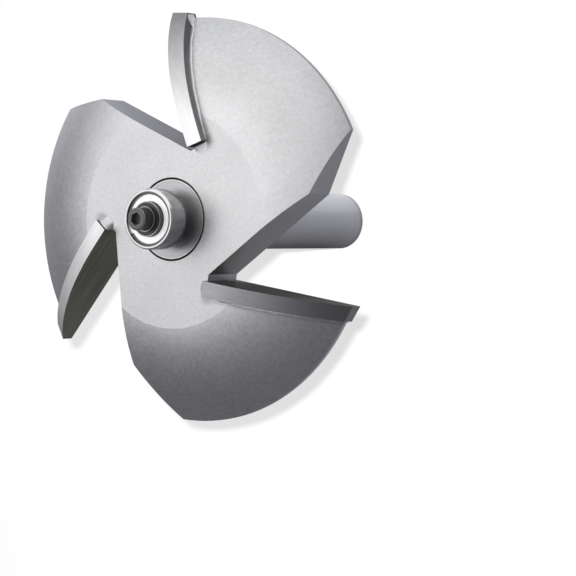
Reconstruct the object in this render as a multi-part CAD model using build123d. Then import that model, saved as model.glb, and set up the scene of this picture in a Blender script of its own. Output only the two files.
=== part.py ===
from build123d import *
import os
from math import acos, atan2, cos, degrees, hypot, radians, sin, sqrt, tan

# Router bit of the horizontal raised-panel kind: a three-wing cutter on a long shank,
# with one carbide plate in each wing and a ball bearing held on its nose by a screw.
# Millimetres. The axis is Z, the shank's free end stands on z = 0, the nose is up.
# Seen from the nose the bit turns counter-clockwise.

# Arbor: shank, core inside the head, shoulder, bearing seat
shank_diameter = 12.7
shank_length = 55.6          # from the free end to the back of the head
shank_end_chamfer = 0.9
core_diameter = 17.1         # the round joint line that shows on the head's face
core_edge_chamfer = 0.22     # opens the joint line on both sides
core_collar = 0.8            # cylinder of the core that shows behind the head
core_cone_angle = 45.0
seat_clearance = 0.01        # seat pin in the inner ring, all round
pin_end_chamfer = 0.22
shoulder_height = 2.87       # lifts the bearing clear of the head's face
shoulder_relief = 0.15       # shoulder is this much smaller than the inner ring

# Head: a turned disc, then three gullets cut straight through it
wing_count = 3
rim_radius = 43.0
head_thickness = 10.1
rim_thickness = 0.95
flat_radius = 23.0           # the face is flat out to here
face_break = 5.0             # it breaks downwards there by this angle, then falls in one arc
braze_gap = 0.03             # joint between head and arbor, head and carbide
rake_offset = 11.0           # distance from the axis to the plane of each cutting face
floor_width = 1.2            # small flat at the bottom of a gullet
wall_angle = 14.7            # trailing wall, from the perpendicular to the cutting face
wall_distance = 15.05        # distance from the axis to the plane of a trailing wall
facet_angle = 45.0           # short facet between the trailing wall and the rim
facet_distance = 28.05

# Carbide plates
tip_projection = 1.45        # the cutting circle stands this far outside the rim
plate_thickness = 3.45
plate_proud = 2.45           # height of the cutting edge above the head's face
plate_inset = 0.35           # inner end, measured from the gullet's floor
plate_corner = 4.0           # slanted inner corner at the bottom of the plate
plate_land = 1.0             # shortest flat part of the plate's edge, from its inner end
edge_flat_radius = 19.6      # the cutting edge leaves the flat here, without a break
relief_angle = 8.0
runout_depth = 0.5           # shallow round end of the slot, beyond the plate

# Ball bearing, 3/16 x 1/2 x 0.196 inch, shielded on both sides
bearing_bore = 4.7625
bearing_diameter = 12.7
bearing_width = 4.978
bearing_chamfer = 0.3
ball_diameter = 2.381
ball_count = 7
ball_clearance = 0.015       # ball to raceway, all round
inner_land_diameter = 7.2
outer_land_diameter = 10.3
shield_seat_diameter = 11.2
shield_recess = 0.3          # from the ring's side face to the outside of the snap ring
shield_thickness = 0.18
shield_clearance = 0.12      # shield bore round the inner ring
snap_wire = 0.3
snap_gap_angle = 24.0
snap_ring_width = 0.45
cage_thickness = 0.18
cage_clearance = 0.14        # cage to either ring
cage_pocket_clearance = 0.03

# Screw and washers
screw_diameter = 2.845
screw_length = 9.5
screw_hole_clearance = 0.04
screw_end_chamfer = 0.35
head_diameter = 4.65
head_height = 2.84
head_chamfer = 0.25
hex_across_flats = 2.38
hex_depth = 1.5
lock_washer_diameter = 5.3
lock_washer_thickness = 0.64
lock_washer_slit = 0.35
lock_washer_slant = 30.0
flat_washer_diameter = 7.3
flat_washer_thickness = 0.5
washer_bore_clearance = 0.1
pin_short = 0.2              # the seat pin ends this far below the bearing's face
thread_depth_spare = 1.5     # tapped hole beyond the end of the screw
drill_point_angle = 59.0

# Levels along the axis, from the sizes above
back_z = shank_length
face_z = back_z + head_thickness
bearing_z = face_z + shoulder_height
bearing_top = bearing_z + bearing_width
bearing_mid = bearing_z + bearing_width / 2
shield_seat_depth = shield_recess + snap_wire + shield_thickness
pin_top = bearing_top - pin_short
lock_washer_z = bearing_top + flat_washer_thickness
screw_head_z = lock_washer_z + lock_washer_thickness
screw_end_z = screw_head_z - screw_length

# Radii that several pieces share
shank_radius = shank_diameter / 2
core_radius = core_diameter / 2
tip_radius = rim_radius + tip_projection     # half of the cutting diameter
screw_radius = screw_diameter / 2
washer_bore = screw_radius + washer_bore_clearance
ball_radius = ball_diameter / 2
pitch_radius = (bearing_bore + bearing_diameter) / 4
groove_radius = ball_radius + ball_clearance
face_drop = head_thickness - rim_thickness
face_run = rim_radius - flat_radius
break_angle = radians(face_break)
face_arc = hypot(face_run, face_drop) / (2 * sin(atan2(face_drop, face_run) - break_angle))
arc_centre = flat_radius - face_arc * sin(break_angle)
arc_base = face_arc * cos(break_angle)


def flat_reach(lift=0.0):
    """Radius where a surface that lies lift above the face turns from flat to arc."""
    return arc_centre + sqrt((face_arc + lift) ** 2 - (arc_base + lift) ** 2)


def face_height(radius, lift=0.0):
    """Level of the head's face at a radius, or of a surface that lies lift above it."""
    if radius <= flat_reach(lift):
        return face_z + lift
    return face_z - arc_base + sqrt((face_arc + lift) ** 2 - (radius - arc_centre) ** 2)


edge_run = tip_radius - edge_flat_radius
edge_fall = face_z + plate_proud - face_height(tip_radius, plate_proud)
edge_arc = (edge_run**2 + edge_fall**2) / (2 * edge_fall)


def edge_rise(radius, drop):
    """Height of a plate's ground edge, drop inside the cutting form, above its arc's centre."""
    return sqrt((edge_arc - drop) ** 2 - max(radius - edge_flat_radius, 0) ** 2)


def turned(points):
    """A solid of revolution from a closed outline of (radius, level) points."""
    outline = make_face(Polyline(*[(r, 0, z) for r, z in points], close=True))
    return revolve(outline, Axis.Z)


def ring(inner, outer, bottom, height, edge=0.0):
    """A washer-like ring, with a chamfer on its outer corners if edge is given."""
    top = bottom + height
    if edge == 0.0:
        return turned([(inner, bottom), (outer, bottom), (outer, top), (inner, top)])
    return turned([
        (inner, bottom), (outer - edge, bottom), (outer, bottom + edge),
        (outer, top - edge), (outer - edge, top), (inner, top),
    ])


def make_arbor():
    cone_z = back_z - core_collar
    cone_drop = (core_radius - shank_radius) / tan(radians(core_cone_angle))
    pin_radius = bearing_bore / 2 - seat_clearance
    shoulder_radius = inner_land_diameter / 2 - shoulder_relief
    hole_radius = screw_radius + screw_hole_clearance
    hole_z = screw_end_z - thread_depth_spare
    point_z = hole_z - hole_radius / tan(radians(drill_point_angle))
    return turned([
        (0, 0),
        (shank_radius - shank_end_chamfer, 0),
        (shank_radius, shank_end_chamfer),
        (shank_radius, cone_z - cone_drop),
        (core_radius, cone_z),
        (core_radius, face_z - core_edge_chamfer),
        (core_radius - core_edge_chamfer, face_z),
        (shoulder_radius, face_z),
        (shoulder_radius, bearing_z),
        (pin_radius, bearing_z),
        (pin_radius, pin_top - pin_end_chamfer),
        (pin_radius - pin_end_chamfer, pin_top),
        (hole_radius, pin_top),
        (hole_radius, hole_z),
        (0, point_z),
    ])


def line_meeting(normal_a, distance_a, normal_b, distance_b):
    """Where two lines meet, each given by its normal's angle and its distance from the axis."""
    a, b = radians(normal_a), radians(normal_b)
    det = sin(b - a)
    x = (distance_a * sin(b) - distance_b * sin(a)) / det
    y = (distance_b * cos(a) - distance_a * cos(b)) / det
    return x, y


wing_pitch = 360 / wing_count
wall_normal = wall_angle - 90
facet_normal = facet_angle - 90
# The trailing wall of the wing ahead, seen from this wing, and where it meets the gullet's floor
floor_start = line_meeting(wall_normal + wing_pitch, wall_distance, 0, rake_offset - floor_width)
floor_y = floor_start[1]
plate_inner_y = floor_y + plate_inset


def wing_edges(turn):
    """Plan outline of one wing, from the bottom of its own gullet to that of the next."""
    def turned_point(point):
        a = radians(turn)
        return point[0] * cos(a) - point[1] * sin(a), point[0] * sin(a) + point[1] * cos(a)

    rake_rim = (rake_offset, sqrt(rim_radius**2 - rake_offset**2))
    facet_rim_angle = facet_normal + degrees(acos(facet_distance / rim_radius))
    facet_rim = (rim_radius * cos(radians(facet_rim_angle)), rim_radius * sin(radians(facet_rim_angle)))
    rim_middle_angle = (degrees(acos(rake_offset / rim_radius)) + facet_rim_angle) / 2
    rim_middle = (rim_radius * cos(radians(rim_middle_angle)), rim_radius * sin(radians(rim_middle_angle)))
    bend = line_meeting(wall_normal, wall_distance, facet_normal, facet_distance)
    root = line_meeting(wall_normal, wall_distance, -wing_pitch, rake_offset - floor_width)
    corner = (rake_offset, floor_y)
    start, corner, rake_rim, rim_middle, facet_rim, bend, root = [
        turned_point(p) for p in (floor_start, corner, rake_rim, rim_middle, facet_rim, bend, root)
    ]
    return [
        Line(start, corner),
        Line(corner, rake_rim),
        ThreePointArc(rake_rim, rim_middle, facet_rim),
        Line(facet_rim, bend),
        Line(bend, root),
    ]


def plate_outline(margin=0.0, reach=0.0):
    """Plate's outline as (distance along the cutting face, level): blank, slot or cutting form."""
    inner = plate_inner_y - margin
    bottom = back_z - margin
    outer = sqrt(tip_radius**2 - rake_offset**2) + reach
    top = face_z + plate_proud + reach
    corner = bottom + plate_corner
    return [(inner, corner), (inner + plate_corner, bottom), (outer, bottom), (outer, top), (inner, top)]


# The plane of the first wing's cutting face: its own X runs outwards, its own Y up the axis
rake_plane = Plane(origin=(rake_offset, 0, 0), x_dir=(0, 1, 0), z_dir=(1, 0, 0))


def plate_side(depth):
    """One broad side of a plate, so deep behind the cutting face and lower there by the relief."""
    inner_corner, bottom_corner, outer_bottom, outer_top, inner_top = plate_outline()
    drop = depth * tan(radians(relief_angle))
    side_x = rake_offset + depth
    side_tip = tip_radius - drop
    flat_end = sqrt(max(edge_flat_radius**2 - side_x**2, 0))
    flat_end = max(flat_end, inner_top[0] + plate_land)
    tip_y = sqrt(side_tip**2 - side_x**2)
    steps = 4
    crown, slopes = [], []
    for i in range(steps + 1):
        y = flat_end + (tip_y - flat_end) * i / steps
        radius = hypot(y, side_x)
        rise = edge_rise(radius, drop)
        crown.append((y, face_z + plate_proud - edge_arc + rise))
        slopes.append(-max(radius - edge_flat_radius, 0) / rise * y / radius)
    edge = Spline(*crown, tangents=[(1, slopes[0]), (1, slopes[-1])])
    rest = Polyline(crown[-1], (tip_y, outer_bottom[1]), bottom_corner, inner_corner,
                    (inner_top[0], crown[0][1]), crown[0])
    return make_face([edge, *rest.edges()])


def make_plate():
    """Carbide plate: full form on the cutting face, relieved towards its other side."""
    leading = rake_plane * plate_side(0)
    trailing = rake_plane * Pos(0, 0, plate_thickness) * plate_side(plate_thickness)
    return loft([leading, trailing], ruled=True)


def make_slot():
    """Pocket for one plate, open towards the gullet and the rim, with its round end."""
    outline = rake_plane * make_face(Polyline(*plate_outline(braze_gap, plate_thickness), close=True))
    pocket = extrude(outline, plate_thickness + braze_gap)
    opening = extrude(outline, -braze_gap)
    end_radius = plate_thickness / 2 + braze_gap
    end_place = Pos(rake_offset + plate_thickness / 2, plate_inner_y, face_z)
    end = end_place * Cylinder(end_radius, 2 * runout_depth)
    return pocket + opening + end


def make_cutter_body():
    rim_z = back_z + rim_thickness
    middle = flat_radius + face_run / 2
    bore = core_radius + braze_gap
    lead = core_edge_chamfer
    face_curve = ThreePointArc(
        (flat_radius, 0, face_z), (middle, 0, face_height(middle)), (rim_radius, 0, rim_z))
    rest = Polyline((rim_radius, 0, rim_z), (rim_radius, 0, back_z), (bore, 0, back_z),
                    (bore, 0, face_z - lead), (bore + lead, 0, face_z), (flat_radius, 0, face_z))
    disc = revolve(make_face([face_curve, *rest.edges()]), Axis.Z)
    edges = [edge for i in range(wing_count) for edge in wing_edges(i * wing_pitch)]
    plan = extrude(Pos(0, 0, back_z - 1) * make_face(edges), head_thickness + 2)
    body = disc & plan
    slot = make_slot()
    for i in range(wing_count):
        body -= Rot(0, 0, i * wing_pitch) * slot
    return body


def raceway():
    """The ring-shaped space that the balls roll in, a little larger than a ball."""
    circle = Plane.XZ * Pos(pitch_radius, bearing_mid) * Circle(groove_radius)
    return revolve(circle, Axis.Z)


def make_inner_ring():
    body = turned([
        (bearing_bore / 2 + bearing_chamfer / 2, bearing_z),
        (inner_land_diameter / 2, bearing_z),
        (inner_land_diameter / 2, bearing_top),
        (bearing_bore / 2 + bearing_chamfer / 2, bearing_top),
        (bearing_bore / 2, bearing_top - bearing_chamfer / 2),
        (bearing_bore / 2, bearing_z + bearing_chamfer / 2),
    ])
    return body - raceway()


def make_outer_ring():
    land = outer_land_diameter / 2
    seat = shield_seat_diameter / 2
    body = ring(land, bearing_diameter / 2, bearing_z, bearing_width, bearing_chamfer)
    for level in (bearing_z, bearing_top - shield_seat_depth):
        body -= Pos(0, 0, level + shield_seat_depth / 2) * Cylinder(seat, shield_seat_depth)
    return body - raceway()


def mirrored(shape):
    """The same piece for the other side of the bearing."""
    return mirror(shape, Plane.XY.offset(bearing_mid))


def make_shield():
    """Thin flat disc, seated in the outer ring and clear of the inner one."""
    outside = bearing_top - shield_recess - snap_wire
    return ring(inner_land_diameter / 2 + shield_clearance, shield_seat_diameter / 2,
                outside - shield_thickness, shield_thickness)


def make_snap_ring():
    """Flat split ring that holds a shield in its seat."""
    seat = shield_seat_diameter / 2
    body = ring(seat - snap_ring_width, seat, bearing_top - shield_recess - snap_wire, snap_wire)
    gap_width = 2 * seat * sin(radians(snap_gap_angle / 2))
    return body - Pos(-seat, 0, bearing_top) * Box(2 * seat, gap_width, 2 * shield_seat_depth)


def ball_places():
    """Ball centres, evenly spaced on the pitch circle."""
    for i in range(ball_count):
        a = radians(i * 360 / ball_count)
        yield Pos(pitch_radius * cos(a), pitch_radius * sin(a), bearing_mid)


def make_cage_half():
    """Pressed ribbon: flat webs between the balls and a half-round cup over each ball."""
    inside = inner_land_diameter / 2 + cage_clearance
    outside = outer_land_diameter / 2 - cage_clearance
    pocket = ball_radius + cage_pocket_clearance
    band = ring(inside, outside, bearing_mid, ball_diameter)
    half = ring(inside, outside, bearing_mid, cage_thickness)
    cups = [place * Sphere(pocket + cage_thickness) for place in ball_places()]
    half += band & (Part() + cups)
    for place in ball_places():
        half -= place * Sphere(pocket)
    return half


def make_cap_screw():
    top = screw_head_z + head_height
    head_radius = head_diameter / 2
    body = turned([
        (0, screw_end_z), (screw_radius - screw_end_chamfer, screw_end_z),
        (screw_radius, screw_end_z + screw_end_chamfer), (screw_radius, screw_head_z),
        (head_radius, screw_head_z), (head_radius, top - head_chamfer),
        (head_radius - head_chamfer, top), (0, top),
    ])
    hexagon = Pos(0, 0, top - hex_depth) * RegularPolygon(hex_across_flats / 2, 6, major_radius=False)
    return body - extrude(hexagon, 2 * hex_depth)


def make_lock_washer():
    radius = lock_washer_diameter / 2
    body = ring(washer_bore, radius, lock_washer_z, lock_washer_thickness)
    slit = Box(2 * radius, lock_washer_slit, 4 * lock_washer_thickness)
    return body - Pos(-radius, 0, lock_washer_z) * Rot(lock_washer_slant, 0, 0) * slit


nodes = {
    "arbor": make_arbor(),
    "cutter_body": make_cutter_body(),
    "bearing_inner_ring": make_inner_ring(),
    "bearing_outer_ring": make_outer_ring(),
    "shield_front": make_shield(),
    "shield_back": mirrored(make_shield()),
    "snap_ring_front": make_snap_ring(),
    "snap_ring_back": mirrored(make_snap_ring()),
    "cage_front": make_cage_half(),
    "cage_back": mirrored(make_cage_half()),
    "flat_washer": ring(washer_bore, flat_washer_diameter / 2, bearing_top, flat_washer_thickness),
    "lock_washer": make_lock_washer(),
    "cap_screw": make_cap_screw(),
}
plate = make_plate()
for i in range(wing_count):
    nodes[f"carbide_tip_{i + 1}"] = Rot(0, 0, i * wing_pitch) * plate
for i, place in enumerate(ball_places()):
    nodes[f"bearing_ball_{i + 1}"] = place * Sphere(ball_radius)

os.makedirs("parts", exist_ok=True)
for name, shape in nodes.items():
    export_step(shape, f"parts/{name}.step")
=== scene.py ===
# %% [markdown]
# # Dressing a three-wing panel-raising router bit
#
# The bit is a turned steel head with three gullets, a carbide plate brazed into each wing,
# a long round shank, and a small ball bearing held on its nose by a socket screw. Its shapes
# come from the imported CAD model, so this lesson is about what a camera sees beyond shape:
# bead-blasted steel, ground carbide, chrome, black oxide, the braze in the seams, and light.
#
# Everything is in metres and in one frame: the axis is Z, the shank's end stands on z = 0.

# %% Load the frame
from math import cos, radians, sin, tau
import bmesh
import bpy
from mathutils import Matrix, Vector, noise


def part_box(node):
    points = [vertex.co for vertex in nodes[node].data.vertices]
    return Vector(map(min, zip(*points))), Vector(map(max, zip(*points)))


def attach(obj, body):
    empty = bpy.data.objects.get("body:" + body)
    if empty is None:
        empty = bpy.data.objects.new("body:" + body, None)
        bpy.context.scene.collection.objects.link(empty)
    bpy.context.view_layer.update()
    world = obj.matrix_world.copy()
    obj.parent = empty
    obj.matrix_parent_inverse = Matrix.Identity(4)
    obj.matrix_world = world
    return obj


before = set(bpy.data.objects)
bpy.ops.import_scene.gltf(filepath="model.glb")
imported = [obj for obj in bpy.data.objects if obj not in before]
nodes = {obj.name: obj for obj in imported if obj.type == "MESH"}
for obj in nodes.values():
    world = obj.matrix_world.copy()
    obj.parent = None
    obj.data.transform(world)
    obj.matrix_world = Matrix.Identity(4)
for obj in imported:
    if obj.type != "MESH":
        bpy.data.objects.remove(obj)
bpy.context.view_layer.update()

mm = 0.001
wing_count = 3
wing_turn = 360 // wing_count
print("pieces in the frame:", len(nodes))

# %% [markdown]
# ## Levels and sizes that the finishes need
#
# A finish often changes with height or radius: the nose of the arbor is turned while its
# shank is ground. The numbers can be typed in again, or read from the pieces' own boxes.
# Reading them is safer, because the look then stays right if the bit is made in another size.

# %% Levels
back_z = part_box("cutter_body")[0].z
face_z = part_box("cutter_body")[1].z
bearing_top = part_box("bearing_outer_ring")[1].z
head_nose = Vector((0, 0, face_z))
plate_low, plate_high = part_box("carbide_tip_1")
plate_front, plate_back = plate_low.x, plate_high.x
plate_end, plate_tip = plate_low.y, plate_high.y
print("head from %.2f to %.2f mm" % (back_z / mm, face_z / mm))

# %% [markdown]
# ## The camera
#
# The photographer stood almost in front of the nose with a long lens, so the head hardly
# tapers and the shank shows behind it. A camera could be aimed with a Track To constraint,
# but here its lean, turn and roll round the head's face are written as three rotations,
# so each of them can be matched to the photograph on its own.

# %% Camera
camera_lens = 135.9
camera_distance = 456.4 * mm
axis_lean, head_turn, camera_roll = radians(34.51), radians(18.36), radians(1.93)
head_right, head_up = -24.55 * mm, 14.42 * mm

seen = (Matrix.Rotation(camera_roll, 3, "Z") @ Matrix.Rotation(-axis_lean, 3, "Y")
        @ Matrix.Rotation(head_turn, 3, "Z"))
back_to_row = seen.transposed()


def studio(right, up, towards):
    """A place named as the photographer sees it: metres right of, above and in front of the head."""
    return head_nose + back_to_row @ Vector((right, up, towards))


lens = bpy.data.cameras.new("camera")
lens.lens = camera_lens
lens.sensor_width = 36
camera = bpy.data.objects.new("camera", lens)
bpy.context.scene.collection.objects.link(camera)
camera.matrix_world = (Matrix.Translation(studio(-head_right, -head_up, camera_distance))
                       @ back_to_row.to_4x4())
bpy.context.scene.camera = camera
bpy.context.scene.view_settings.view_transform = "Standard"
print("camera at", [round(v, 4) for v in camera.location])

# %% [markdown]
# ## Shader maths as plain sums
#
# A finish is a small calculation that runs at each point of the surface. It could be wired
# by hand, node by node. It reads better as sums, so one small class holds a socket and turns
# `+`, `*` and the rest into Math nodes, also when the number comes first, as in `1 - mask`.

# %% Sums on sockets
class Value:
    """One output of a node, which can be used in sums with numbers and other outputs."""

    def __init__(self, shop, socket):
        self.shop, self.socket = shop, socket

    def sum(self, operation, *others):
        return self.shop.add("Math", {"operation": operation}, dict(enumerate((self, *others))))

    def __add__(self, other):
        return self.sum("ADD", other)

    def __radd__(self, other):
        return self.sum("ADD", other)

    def __mul__(self, other):
        return self.sum("MULTIPLY", other)

    def __rmul__(self, other):
        return self.sum("MULTIPLY", other)

    def __sub__(self, other):
        return self.sum("SUBTRACT", other)

    def __truediv__(self, other):
        return self.sum("DIVIDE", other)

    def __pow__(self, other):
        return self.sum("POWER", other)

    def __neg__(self):
        return self.sum("MULTIPLY", -1)

    def __abs__(self):
        return self.sum("ABSOLUTE")

    def __rsub__(self, other):
        return self.shop.number("SUBTRACT", other, self)

    def __rtruediv__(self, other):
        return self.shop.number("DIVIDE", other, self)

    def at_least(self, other):
        return self.sum("MAXIMUM", other)

    def sine(self):
        return self.sum("SINE")

    def step(self, low, high):
        """0 below low, 1 above high, and a smooth rise between them."""
        return self.shop.add("MapRange", {"interpolation_type": "SMOOTHSTEP"},
                             {"Value": self, "From Min": low, "From Max": high})


class Shop:
    """A node tree being filled: a material's or the world's."""

    def __init__(self, tree):
        self.tree = tree
        tree.nodes.clear()

    def add(self, kind, settings=None, sockets=None, out=0):
        """Any node: its type, its settings, then the values or links of its sockets."""
        made = self.tree.nodes.new("ShaderNode" + kind)
        for name, value in (settings or {}).items():
            if name == "stops":
                ramp = made.color_ramp
                while len(ramp.elements) < len(value):
                    ramp.elements.new(0.5)
                for element, (place, colour) in zip(ramp.elements, value):
                    element.position, element.color = place, (*grey(colour), 1)
            else:
                setattr(made, name, value)
        for name, value in (sockets or {}).items():
            self.plug(made.inputs[name], value)
        return Value(self, made.outputs[out] if made.outputs else None)

    def plug(self, socket, value):
        if isinstance(value, Value):
            self.tree.links.new(value.socket, socket)
        elif socket.type == "RGBA" and not hasattr(value, "__len__"):
            socket.default_value = (*grey(value), 1)
        elif socket.type == "RGBA" and len(value) == 3:
            socket.default_value = (*value, 1)
        else:
            socket.default_value = value

    def number(self, operation, first, second):
        return self.add("Math", {"operation": operation}, {0: first, 1: second})

    def vector(self, operation, first, second, out=0):
        return self.add("VectorMath", {"operation": operation}, {0: first, 1: second}, out)

    def mix(self, mask, low, high):
        """Colour low where mask is 0 and colour high where it is 1."""
        return self.add("Mix", {"data_type": "RGBA"}, {0: mask, 6: low, 7: high}, 2)

    def end(self, kind, value):
        """The tree's last node, which takes the finished surface or background."""
        self.add(kind, None, {0: value})


def grey(value):
    """A plain grey as a colour, or a colour as it is."""
    return (value,) * 3 if not hasattr(value, "__len__") else tuple(value)


# The ends of each metal's range of tones: hardly coloured, but not quite neutral
steel_dark, steel_light = (0.0, 0.0, 0.004), (0.985, 0.99, 1.0)
carbide_dark, carbide_light = (0.0, 0.0, 0.0), (1.0, 0.97, 0.80)
brown_dark = (0.008, 0.005, 0.002)


# %% [markdown]
# ## One metal shader for every finish
#
# Each finish below is the Principled shader, at full Metallic unless the finish says less.
# What differs is its colour, its roughness and its fine relief. A class keeps what they
# share: the place on the piece in millimetres, noise at a given grain, and the bump that
# turns a height into a normal.

# %% The finish class
class Finish(Shop):
    """A material with a Principled shader and helpers for places, grain and relief."""

    def __init__(self, name, **constants):
        self.material = bpy.data.materials.new(name)
        self.material.use_nodes = True
        super().__init__(self.material.node_tree)
        place = self.add("TexCoord", out=3)
        self.place = self.add("VectorMath", {"operation": "SCALE"}, {0: place, "Scale": 1 / mm})
        self.facing = self.add("TexCoord", out=1)
        self.shader = self.tree.nodes.new("ShaderNodeBsdfPrincipled")
        self.shader.inputs["Metallic"].default_value = 1.0
        self.looks(**constants)
        end = self.tree.nodes.new("ShaderNodeOutputMaterial")
        self.tree.links.new(self.shader.outputs[0], end.inputs[0])

    def axes(self, vector):
        """The x, y and z of a vector as values."""
        return [self.add("SeparateXYZ", None, {0: vector}, out=i) for i in range(3)]

    def round_the_axis(self):
        """How far from the axis a point lies, and how high, in millimetres."""
        x, y, z = self.axes(self.place)
        return (x * x + y * y) ** 0.5, z

    def turned(self, degrees, vector=None):
        """Place or direction as the first wing's own, for a piece that is turned about the axis."""
        return self.add("VectorRotate", {"rotation_type": "Z_AXIS"},
                        {"Vector": vector or self.place, "Angle": -radians(degrees)})

    def noise(self, per_mm, vector=None, detail=2.0, rough=0.5, stretch=None):
        """Noise from 0 to 1 whose lumps are 1 / per_mm millimetres across."""
        vector = vector or self.place
        if stretch:
            vector = self.vector("MULTIPLY", vector, stretch)
        return self.add("TexNoise", None, {"Vector": vector, "Scale": per_mm, "Detail": detail,
                                          "Roughness": rough})

    def relief(self, height, depth_mm, strength=1.0):
        """Feeds the shader's normal from a height of 0 to 1 that stands for depth_mm."""
        normal = self.add("Bump", None, {"Strength": strength, "Distance": depth_mm * mm,
                                         "Height": height})
        self.plug(self.shader.inputs["Normal"], normal)

    def looks(self, **sockets):
        """Sets or feeds the shader's other sockets, such as base_color and roughness."""
        for name, value in sockets.items():
            self.plug(self.shader.inputs[name.replace("_", " ").title()], value)

    def put_on(self, *names):
        for name in names:
            piece = nodes.get(name) or bpy.data.objects[name]
            piece.data.materials.clear()
            piece.data.materials.append(self.material)
        print(self.material.name, "on", ", ".join(names))


# %% [markdown]
# ## Bead-blasted steel
#
# The head is blasted with glass beads after it is milled, which leaves a soft grey without
# tool marks. Close to, it is a field of tiny dents, and here and there a darker or lighter
# cloud where the blast passed more or less often. Fine noise makes the dents, and two
# coarser noises make the clouds. The upright walls of the gullets are painted darker, painted
# shade, and keep faint lines from the milling cutter. The thin rim is turned, and its wall is
# painted lighter, a painted highlight. A dark ring marks the groove where the head is brazed
# on the arbor.

# %% Blasted head
seam_radius, seam_width = 8.62, 0.17
dark_line_away, dark_spot_radius = 0.75, 2.4
rim_radius = max(vertex.co.to_2d().length for vertex in nodes["cutter_body"].data.vertices) / mm

blasted = Finish("blasted_steel")
radius, z = blasted.round_the_axis()
upright = 1 - abs(blasted.axes(blasted.facing)[2]).step(0.1, 0.4)
dents = blasted.noise(3.2, detail=3)
specks = blasted.noise(1.2, detail=3, rough=0.65)
clouds = blasted.noise(0.09, detail=3)
feed = blasted.noise(2.2, blasted.add("CombineXYZ", None, {2: z}), detail=2)
# Painted highlight: the rim's upright wall is painted lighter.
rim_painted_highlight = upright * radius.step(rim_radius - 0.3, rim_radius - 0.1)
seam = 1 - abs(radius - seam_radius).step(seam_width * 0.5, seam_width * 1.5)
# Beside each plate a thin dark line runs along its back, and a dark spot lies round its inner end.
plate_dark_marks = 0
for wing in range(wing_count):
    across, along, up = blasted.axes(blasted.turned(wing_turn * wing))
    out, past = across - plate_back / mm, along - plate_end / mm
    line = (1 - abs(out - dark_line_away).step(0.1, 0.5)) * past.step(0.0, 1.0) * 0.16
    spot = (1 - ((out * out + past * past) ** 0.5).step(0.5, dark_spot_radius)) * (clouds + 0.1) * 0.5
    plate_dark_marks = line.at_least(spot).at_least(plate_dark_marks)
# Painted shade: the upright walls are painted darker, with the milling lines and specks in them.
wall_shade_and_mill_lines = upright * (0.34 + (feed - 0.5) * 0.34 + (specks - 0.5) * 0.5)
tone = 0.73 + (dents - 0.5) * 0.10 + (specks - 0.5) * 0.34 + (clouds - 0.5) * 0.14
tone = tone * (1 - wall_shade_and_mill_lines) + rim_painted_highlight * 0.15
tone = tone * (1 - seam * 0.85) * (1 - plate_dark_marks)
blasted.looks(base_color=blasted.mix(tone, steel_dark, steel_light),
              roughness=0.45 + (specks - 0.5) * 0.16 - upright * 0.08)
blasted.relief(dents, 0.03, 0.6)
blasted.put_on("cutter_body")

# %% [markdown]
# ## Ground carbide
#
# A carbide plate is ground on its flank and its cutting face with a diamond wheel. The wheel
# leaves fine straight lines along the edge. The flank comes off it bright, with a lightness
# of its own on each wing, painted light. The cutting face is painted dark with a touch of
# olive, painted shade, and the back of the plate is painted at half the lightness, painted
# shade. The end that faces the axis is never ground; it is painted nearly black, its dull skin
# and painted shade together. Towards its outer corner the flank is painted darker and the
# cutting face lighter, a painted reflection. One flank is satin, which a lower Metallic gives.
# The lines follow each plate, so the finish is made once for each of them, turned with it.

# %% Carbide plates
outer_start, outer_end = -22.0, -1.0


def ground_carbide(number, turn, flank_tone_with_light, outer_painted_shade, satin):
    finish = Finish("ground_carbide_%d" % number, specular_tint=0.4)
    place = finish.turned(turn)
    facing = finish.turned(turn, finish.facing)
    across, along, up = finish.axes(facing)
    lines = finish.noise(6.0, place, detail=3, stretch=(1.0, 0.02, 1.0))
    broad = finish.noise(0.9, place, detail=2, stretch=(1.0, 0.06, 1.0))
    cutting_face = (-across).step(0.7, 0.9)
    back = across.step(0.7, 0.9)
    skin = (-along).step(0.7, 0.9)
    outer = (finish.axes(place)[1] - plate_tip / mm).step(outer_start, outer_end)
    # Painted light and shade: each wing's flank lightness, a darker outer corner, a dark cutting face
    # lighter outwards, a darker back and a nearly black inner end.
    flank = (flank_tone_with_light + (lines - 0.5) * 0.26 + (broad - 0.5) * 0.20) * (1 - outer * outer_painted_shade)
    face = 0.30 + (lines - 0.5) * 0.10 + (broad - 0.5) * 0.22 + outer * 0.12
    tone = (flank + (face - flank) * cutting_face) * (1 - back * 0.5) * (1 - skin * 0.85)
    tint = finish.mix(cutting_face, steel_light, carbide_light)
    finish.looks(base_color=finish.mix(tone, carbide_dark, tint),
                 roughness=0.34 + (lines - 0.5) * 0.16 - cutting_face * 0.10,
                 metallic=1 - (1 - cutting_face) * satin)
    finish.relief(lines, 0.004, 0.5)
    finish.put_on("carbide_tip_%d" % number)


# How light each flank is painted for its wing, painted light; how much painted shade darkens its outer
# corner; and how satin
flanks = ((0.75, 0.52, 0.0), (0.80, 0.20, 0.5), (0.86, 0.56, 0.0))
for wing, flank in enumerate(flanks):
    ground_carbide(wing + 1, wing_turn * wing, *flank)

# %% [markdown]
# ## The arbor
#
# The shank is centreless ground to fit a collet, so it carries very fine rings round the
# axis, and the round nose inside the head is turned. The nose is painted darker, painted
# shade, with a thin ring at its lip painted lighter, a painted highlight. The edge of the free
# end is painted darker, painted shade.
# Rings smear a reflection across themselves: along the shank, and outwards on the nose.
# Thousands of real rings could be cut as relief, but they would flicker. The shader's
# Anisotropic value does the same: it stretches the highlight, and a quarter turn of it lays
# the stretch across the rings.

# %% Arbor
lip_radius, chamfer_radius, chamfer_high = 8.28, 8.34, 0.4
end_dark, end_light = 0.2, 3.0

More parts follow.
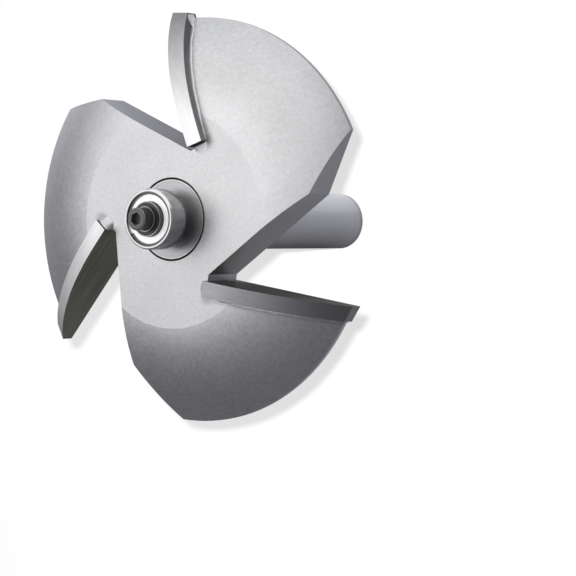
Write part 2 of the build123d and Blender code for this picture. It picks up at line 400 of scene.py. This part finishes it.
ground = Finish("ground_shank", anisotropic=0.9, anisotropic_rotation=0.25)
radius, z = ground.round_the_axis()
rings = ground.noise(5.0, ground.add("CombineXYZ", None, {0: radius, 2: z}), detail=3)
smudge = ground.noise(0.12, detail=3)
nose = ground.axes(ground.facing)[2].step(0.7, 0.95)
lip = nose * (1 - abs(radius - lip_radius).step(0.03, 0.10))
chamfer = (radius - chamfer_radius).step(0.0, 0.04) * (z - face_z / mm + chamfer_high).step(0.0, 0.1)
free_end_painted_shade = 1 - z.step(end_dark, end_light)
# Painted shade on the nose and the free end, and a painted highlight on the lip ring.
tone = 0.64 - nose * 0.17 + (rings - 0.5) * 0.24 + (smudge - 0.5) * 0.16
tone = (tone + lip * 0.3) * (1 - chamfer * 0.85) * (1 - free_end_painted_shade * 0.45)
ground.looks(base_color=ground.mix(tone, steel_dark, steel_light), roughness=0.30 + (smudge - 0.5) * 0.12)
ground.relief(rings, 0.004, 0.5)
ground.put_on("arbor")

# %% [markdown]
# ## The ball bearing
#
# The outer ring and the balls are polished chrome steel. The outside of the ring is honed,
# with faint wipes, and painted darker than its flat rim, painted shade. The lip inside the
# rim and the faces that look in towards the axis are painted dark, painted shade. Each of
# these could be a material on faces of its own. Masks from the radius and from the way that a
# face looks do it in one material.

# %% Outer ring and balls
lip_inside, lip_outside = 5.72, 5.84

chrome = Finish("bearing_chrome")
radius, z = chrome.round_the_axis()
from_middle = chrome.vector("MULTIPLY", chrome.place, (1, 1, 0))
from_middle = chrome.vector("NORMALIZE", from_middle, (0, 0, 0))
outward = chrome.vector("DOT_PRODUCT", chrome.facing, from_middle, out="Value")
hone = chrome.noise(7.0, chrome.add("CombineXYZ", None, {2: z}), detail=2)
wipes = chrome.noise(0.8, detail=2, stretch=(1.0, 1.0, 0.3))
rim = chrome.axes(chrome.facing)[2].step(0.8, 0.95)
# Painted shade: the lip inside the rim, the honed outside and the faces towards the axis are painted darker.
lip_painted_shade = rim * (1 - radius.step(lip_inside, lip_outside))
honed_side_shade = outward.step(0.8, 0.95) * (0.42 + (wipes - 0.5) * 0.3)
inward_painted_shade = (-outward).step(0.5, 0.9) * 0.70
tone = 0.86 + (hone - 0.5) * 0.06 - rim * 0.26 - lip_painted_shade * 0.42 - honed_side_shade - inward_painted_shade
chrome.looks(base_color=chrome.mix(tone, steel_dark, steel_light), roughness=0.13 + hone * 0.06)
balls = [name for name in nodes if name.startswith("bearing_ball_")]
chrome.put_on("bearing_outer_ring", *balls)

# %% [markdown]
# ## The small parts of the bearing
#
# The little that shows of the inner ring is painted nearly black, painted shade. A shield is
# thin pressed steel that has been tumbled, which makes it nearly white, and the split ring
# that holds it is blued spring steel, painted darker still, painted shade. All three are
# plain, so a fine grain in tone and gloss is enough.

# %% Inner ring, shields and snap rings
# Painted shade: the inner ring is painted nearly black.
inner_ring_shade_finish = Finish("painted_shade_steel")
grain = inner_ring_shade_finish.noise(3.0, detail=2)
inner_ring_shade_finish.looks(base_color=inner_ring_shade_finish.mix(0.10 + (grain - 0.5) * 0.10, brown_dark, steel_light),
              roughness=0.34 + grain * 0.1)
inner_ring_shade_finish.put_on("bearing_inner_ring")

pressed = Finish("pressed_steel", metallic=0.45)
grain = pressed.noise(3.0, detail=2)
pressed.looks(base_color=pressed.mix(0.88 + (grain - 0.5) * 0.10, 0.0, 1.0), roughness=0.38 + grain * 0.08)
pressed.put_on("shield_front", "shield_back", "cage_front", "cage_back")

# Painted shade: the blued split rings are painted darker still.
spring = Finish("blued_spring_steel")
grain = spring.noise(3.0, detail=2)
spring.looks(base_color=spring.mix(0.12 + (grain - 0.5) * 0.08, 0.0, 1.0), roughness=0.30 + grain * 0.1)
spring.put_on("snap_ring_front", "snap_ring_back")

# %% [markdown]
# ## Screw and washers
#
# They are blackened in a hot salt bath. The faces that look up are painted greyer, most on
# the top of the screw's head, painted light, and thin rings at the rims of the washers and of
# the head are painted lighter still, painted highlights, while the sides stay brown-black.
# The rims are found from the pieces' own boxes.

# %% Black oxide
edge_inset, knurl_lines = 0.1, 40
highlight_radii = [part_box(name)[1].x / mm - edge_inset
              for name in ("flat_washer", "lock_washer", "cap_screw")]

black = Finish("blackened_steel", metallic=0.8)
radius, z = black.round_the_axis()
x, y = black.axes(black.place)[:2]
# Painted light: faces that look up are painted greyer; thin rings at the rims are painted highlights.
top_painted_light = black.axes(black.facing)[2].step(0.5, 0.95)
above_washers = (z - bearing_top / mm).step(2.0, 2.4)
grain = black.noise(4.0, detail=3)
knurl = (black.number("ARCTAN2", y, x) * knurl_lines).sine() * (1 - top_painted_light) * above_washers
washer_rim_highlight = 0
for edge in highlight_radii:
    washer_rim_highlight = (1 - abs(radius - edge).step(0.04, 0.12)).at_least(washer_rim_highlight)
tone = 0.055 + top_painted_light * (above_washers * 0.06 + washer_rim_highlight * 0.36) + (grain - 0.5) * 0.04 + knurl * 0.015
black.looks(base_color=black.mix(tone, brown_dark, grey(1.0)), roughness=0.30 + grain * 0.14)
black.relief(knurl * 0.5 + 0.5, 0.03, 0.6)
black.put_on("cap_screw", "lock_washer", "flat_washer")

# %% [markdown]
# ## The braze round the plates
#
# Silver braze holds each plate in its slot. It runs out of the joint and sets as a low bead
# between the back of the plate and the head. Its width wanders, it starts thin at the inner
# end, and at the outer corner it climbs up to the top of the plate. The bead could be painted
# on as a light line, but a real one catches the light along its top. Each of its sections
# follows the head, whose level is found by looking straight down on the pieces.

# %% Braze beads
bead_highs = (0.28 * mm, 0.2 * mm, 0.1 * mm)
bead_wide, bead_steps, bead_points = 0.75 * mm, 72, 8
bead_grow, bead_stop, sunk = 8.0 * mm, 2.0 * mm, 0.03 * mm
climb_start, climb_end = 4.6 * mm, 2.6 * mm
bead_seed = 7.3


def closed_piece(name, rows, turn, top):
    """A closed mesh through rows of points, turned to its own wing, smooth over the top's strips."""
    shape = bmesh.new()
    spin = Matrix.Rotation(radians(turn), 4, "Z")
    loops = [[shape.verts.new(spin @ point) for point in row] for row in rows]
    for row, after in zip(loops, loops[1:]):
        for i in range(len(row)):
            j = (i + 1) % len(row)
            shape.faces.new((row[i], after[i], after[j], row[j])).smooth = i in top
    shape.faces.new(loops[0])
    shape.faces.new(loops[-1][::-1])
    bmesh.ops.recalc_face_normals(shape, faces=shape.faces)
    mesh = bpy.data.meshes.new(name)
    shape.to_mesh(mesh)
    shape.free()
    piece = bpy.data.objects.new(name, mesh)
    bpy.context.scene.collection.objects.link(piece)
    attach(piece, "bit")


def level(name, x, y):
    """Height of a piece where a vertical line at x, y first meets it."""
    found, where, normal, face = nodes[name].ray_cast(Vector((x, y, 1.0)), Vector((0, 0, -1)))
    return where.z if found else None


def bead_rows(bead_high, seed):
    """Sections of a bead, from the plate's inner end to its outer corner."""
    rows, foot = [], face_z
    for i in range(bead_steps):
        y = plate_end + 0.1 * mm + (plate_tip - bead_stop - plate_end) * i / (bead_steps - 1)
        wander = 1 + 0.5 * noise.noise(Vector((y / mm * 0.45, seed, 0.0)))
        climb = min(max((y - (plate_tip - climb_start)) / (climb_start - climb_end), 0.0), 1.0)
        wide = bead_wide * wander * min(0.2 + (y - plate_end) / bead_grow, 1.0) * (1 - 0.6 * climb)
        foot = level("cutter_body", plate_back + wide, y) or foot
        crest = level("carbide_tip_1", plate_back - sunk, y)
        high = bead_high * wander
        high += (crest - foot - high - sunk) * climb
        row = [Vector((plate_back - sunk, y, foot - sunk))]
        for k in range(bead_points):
            t = k / (bead_points - 1)
            rise = (1 - t ** 3) * (1 - climb) + (1 - t) ** 1.6 * climb
            x = plate_back - sunk + (wide + sunk) * t
            row.append(Vector((x, y, foot - sunk + (high + sunk) * rise)))
        rows.append(row)
    return rows


print("bead sections:", bead_steps)

# %% [markdown]
# ## The braze at the ends of the slots
#
# The cutter that mills a slot is round, so it leaves a half-round pocket beyond the plate's
# inner end. Braze pools in it and climbs the end of the plate, more on one wing than on
# another, as it does when a piece is brazed by hand.

# %% Braze pools
pool_climbs = (0.25 * mm, 1.8 * mm, 0.8 * mm)
pool_columns, pool_points, pool_deep, pool_lap, pool_sunk = 12, 10, 0.45 * mm, 0.22 * mm, 0.01 * mm
slot_gap = 0.03 * mm


def pool_rows(climb):
    """Sections of a pool along the slot, from the cutting face's side to the plate's back."""
    middle, half = (plate_front + plate_back) / 2, (plate_back - plate_front) / 2
    rows = []
    for i in range(pool_columns):
        across = 2 * i / (pool_columns - 1) - 1
        reach = ((half + slot_gap) ** 2 - (across * half) ** 2) ** 0.5
        x = middle + across * half
        high = climb * (1 - 0.45 * ((across + 0.4) / 1.4) ** 2)
        row = []
        for k in range(pool_points):
            t = k / (pool_points - 1)
            y = plate_end + slot_gap - (reach + pool_lap) * t
            row.append(Vector((x, y, face_z - pool_sunk + high * (1 - t) ** 1.3)))
        row.append(Vector((x, plate_end - reach, face_z - pool_deep)))
        row.append(Vector((x, plate_end + slot_gap, face_z - pool_deep)))
        rows.append(row)
    return rows


print("pools climb", [round(climb / mm, 2) for climb in pool_climbs], "mm")

# %% [markdown]
# ## Silver braze
#
# Silver braze freezes with a soft, slightly wavy skin, so one coarse noise gives it its tone,
# its gloss and its relief. Each wing gets one bead and one pool in it.

# %% Silver braze
silver = Finish("silver_braze")
grain = silver.noise(1.6, detail=3)
silver.looks(base_color=silver.mix(0.80 + (grain - 0.5) * 0.4, steel_dark, steel_light),
             roughness=0.45 + (grain - 0.5) * 0.2)
silver.relief(grain, 0.02, 0.5)
for wing in range(wing_count):
    closed_piece("braze_bead_%d" % (wing + 1), bead_rows(bead_highs[wing], wing * bead_seed),
                 wing_turn * wing, range(1, bead_points))
    closed_piece("braze_pool_%d" % (wing + 1), pool_rows(pool_climbs[wing]),
                 wing_turn * wing, range(pool_points - 1))
silver.put_on(*["braze_%s_%d" % (kind, wing + 1) for kind in ("bead", "pool") for wing in range(wing_count)])

# %% [markdown]
# ## The floor and the white background
#
# The bit stands on white paper that has no edge, and its only trace there is a soft shadow.
# White could come from strong lamps, but they would burn out the steel. So the paper glows
# a little for the rays that look at the background, and a lamp's light fills it up to white:
# where the bit blocks the lamp, the paper falls to a pale grey. The world does the same.

# %% Floor and world
floor_radius, floor_sides = 4.0, 96
paper_grey, paper_glow, world_light = 0.45, 0.55, 0.45


def staged(name, mesh):
    """An object of the studio, which isn't part of the bit."""
    made = bpy.data.objects.new(name, mesh)
    bpy.context.scene.collection.objects.link(made)
    return made


def seen_as_white(shop):
    """1 for the rays that look at the background, straight or by a gloss or a glass."""
    camera_ray, glossy_ray, clear_ray = [shop.add("LightPath", out=name) for name in
                                         ("Is Camera Ray", "Is Glossy Ray", "Is Transmission Ray")]
    return camera_ray.at_least(glossy_ray).at_least(clear_ray)


disc = bmesh.new()
bmesh.ops.create_circle(disc, cap_ends=True, radius=floor_radius, segments=floor_sides)
floor_mesh = bpy.data.meshes.new("floor")
disc.to_mesh(floor_mesh)
disc.free()
staged("floor", floor_mesh)

paper = bpy.data.materials.new("white_paper")
paper.use_nodes = True
floor_mesh.materials.append(paper)
shop = Shop(paper.node_tree)
matt = shop.add("BsdfDiffuse", None, {"Color": paper_grey})
glow = shop.add("Emission", None, {"Color": 1.0, "Strength": seen_as_white(shop) * paper_glow})
shop.end("OutputMaterial", shop.add("AddShader", None, {0: matt, 1: glow}))

world = bpy.data.worlds.new("studio")
bpy.context.scene.world = world
world.use_nodes = True
shop = Shop(world.node_tree)
strength = world_light + seen_as_white(shop) * (1 - world_light)
shop.end("OutputWorld", shop.add("Background", None, {"Color": 1.0, "Strength": strength}))
print("paper floor of %.0f m radius under a white world" % floor_radius)

# %% [markdown]
# ## The window
#
# Metal shows what stands round it. In the photograph the face is bright above and falls off
# to a deep grey below, at the left margin and in the gullets. That is one large soft window,
# and near darkness everywhere else. The window could be a lamp in a black room, but here the
# white world shines in through a round hole in a grey tent, so its size, place and soft edge
# are four angles.

# %% Window
window_azimuth, window_elevation = radians(88), radians(50.5)
window_radius, window_edge = radians(50.7), radians(6)


def sky_way(azimuth, elevation):
    """Direction from the head to a place in the sky."""
    return Vector((cos(elevation) * cos(azimuth), cos(elevation) * sin(azimuth), sin(elevation)))


window_way = sky_way(window_azimuth, window_elevation)
print("the window lies towards", [round(v, 2) for v in window_way])

# %% [markdown]
# ## The tent
#
# The tent is a sphere round the head whose lower part is pressed flat, so it lies on the
# floor as a mat. Boards and cloths could be placed one by one, but a sphere has no gaps and
# one material can give each direction its tone. Only glossy rays see the tent, so it shapes
# the reflections and leaves the paper white.

# %% Tent
tent_radius, tent_columns, tent_rows = 0.9, 96, 48
mat_lift = 0.0002

dome = bmesh.new()
bmesh.ops.create_uvsphere(dome, u_segments=tent_columns, v_segments=tent_rows, radius=tent_radius)
for point in dome.verts:
    point.co.z = max(point.co.z, mat_lift - face_z)
    point.co += head_nose
tent_mesh = bpy.data.meshes.new("tent")
dome.to_mesh(tent_mesh)
dome.free()
tent = staged("tent", tent_mesh)
for kind in ("camera", "diffuse", "transmission", "volume_scatter", "shadow"):
    setattr(tent, "visible_" + kind, False)
print("tent of %.1f m radius, for glossy rays alone" % tent_radius)

# %% [markdown]
# ## What the steel sees in the tent
#
# The cloth is a little lighter near the window. Upright sides show the mat instead, because
# the camera looks down on them. The shank is light above, mid grey in front and nearly black
# below, so near the axis the mat gets a tone for each bearing, as if the window lit it from
# one side. A colour ramp over the bearing says that most plainly. Further out the head no
# longer shades the mat, so it is light towards the window, with a faint glint across from it.

# %% Cloth and mat
cloth_near, cloth_far = 0.24, 0.12
cloth_tint = (0.97, 0.98, 1.06)
near_ground, shade_ground, far_ground = 0.033, 0.046, 0.12
far_dark, far_light = 0.185, 0.74
glint_azimuth, glint_light = radians(320), 0.18
# Bearing from the axis in degrees, and how light the mat is there
ground_tones = ((0, 0.59), (15, 0.74), (38, 0.90), (69, 1.0), (95, 0.84), (131, 0.58), (162, 0.30),
                (200, 0.10), (220, 0.06), (236, 0.09), (254, 0.15), (276, 0.22), (304, 0.32),
                (329, 0.43), (354, 0.53), (360, 0.59))

cloth = bpy.data.materials.new("grey_cloth")
cloth.use_nodes = True
tent_mesh.materials.append(cloth)
shop = Shop(cloth.node_tree)
place = shop.add("TexCoord", out="Object")
x, y, z = [shop.add("SeparateXYZ", None, {0: place}, out=i) for i in range(3)]
from_axis = (x * x + y * y) ** 0.5
way = shop.vector("NORMALIZE", shop.vector("SUBTRACT", place, head_nose), (0, 0, 0))
aim = shop.vector("DOT_PRODUCT", way, window_way, out="Value")
inside = aim.step(cos(window_radius + window_edge), cos(window_radius - window_edge))
wall = cloth_far + aim.step(-0.1, 0.7) * (cloth_near - cloth_far)
turn = (shop.number("ARCTAN2", y, x) / tau + 1).sum("FRACT")
near = shop.add("ValToRGB", {"stops": [(degrees / 360, tone) for degrees, tone in ground_tones]},
                {"Fac": turn})


def lies_towards(azimuth):
    """1 for ground that lies that way from the axis, 0 for ground a quarter turn from it."""
    return (x * cos(azimuth) + y * sin(azimuth)) / from_axis.at_least(mm)


unshaded = from_axis.step(shade_ground, far_ground)
far = (far_dark + lies_towards(glint_azimuth).at_least(0) * glint_light
       + lies_towards(window_azimuth).step(0.0, 1.1) * far_light * unshaded)
mat = shop.mix(from_axis.step(near_ground, shade_ground), near, shop.mix(far, 0.0, 1.0))
tone = shop.mix(z.step(mat_lift * 2, mat_lift * 20), mat, shop.mix(wall, 0.0, 1.0))
dark = shop.add("Emission", None, {"Color": shop.vector("MULTIPLY", tone, cloth_tint)})
clear = shop.add("BsdfTransparent")
shop.end("OutputMaterial", shop.add("MixShader", None, {0: inside, 1: dark, 2: clear}))
print("grey_cloth on tent")

# %% [markdown]
# ## Lamps
#
# Two lamps are enough. A small round one stands beside the camera, a little up and to the
# left, and throws the soft edge of shadow down to the right of the bit. It is hidden from
# glossy rays, because a small lamp would leave a hot spot on the steel. A large soft one
# stands in the left half of the window, which makes the reflection brighter there.

# %% Lamps
def aimed(name, kind, place, power, **settings):
    """A lamp at a studio place that shines on the head."""
    lamp = bpy.data.lights.new(name, kind)
    lamp.energy = power
    for key, value in settings.items():
        setattr(lamp, key, value)
    holder = bpy.data.objects.new(name, lamp)
    bpy.context.scene.collection.objects.link(holder)
    holder.location = place
    holder.rotation_mode = "QUATERNION"
    holder.rotation_quaternion = (holder.location - head_nose).to_track_quat("Z", "Y")
    print(name, "of %.3f W" % power)
    return holder


front_left, front_up, front_power, front_size = 16 * mm, 16 * mm, 2.2, 14 * mm
front = aimed("front_lamp", "AREA",
              studio(-head_right - front_left, -head_up + front_up, camera_distance),
              front_power, shape="DISK", size=front_size)
front.visible_glossy = False

soft_azimuth, soft_elevation, soft_away = radians(140), radians(60), 0.3
soft_power, soft_size = 0.065, 0.21
aimed("window_lamp", "AREA", head_nose + soft_away * sky_way(soft_azimuth, soft_elevation),
      soft_power, shape="DISK", size=soft_size)
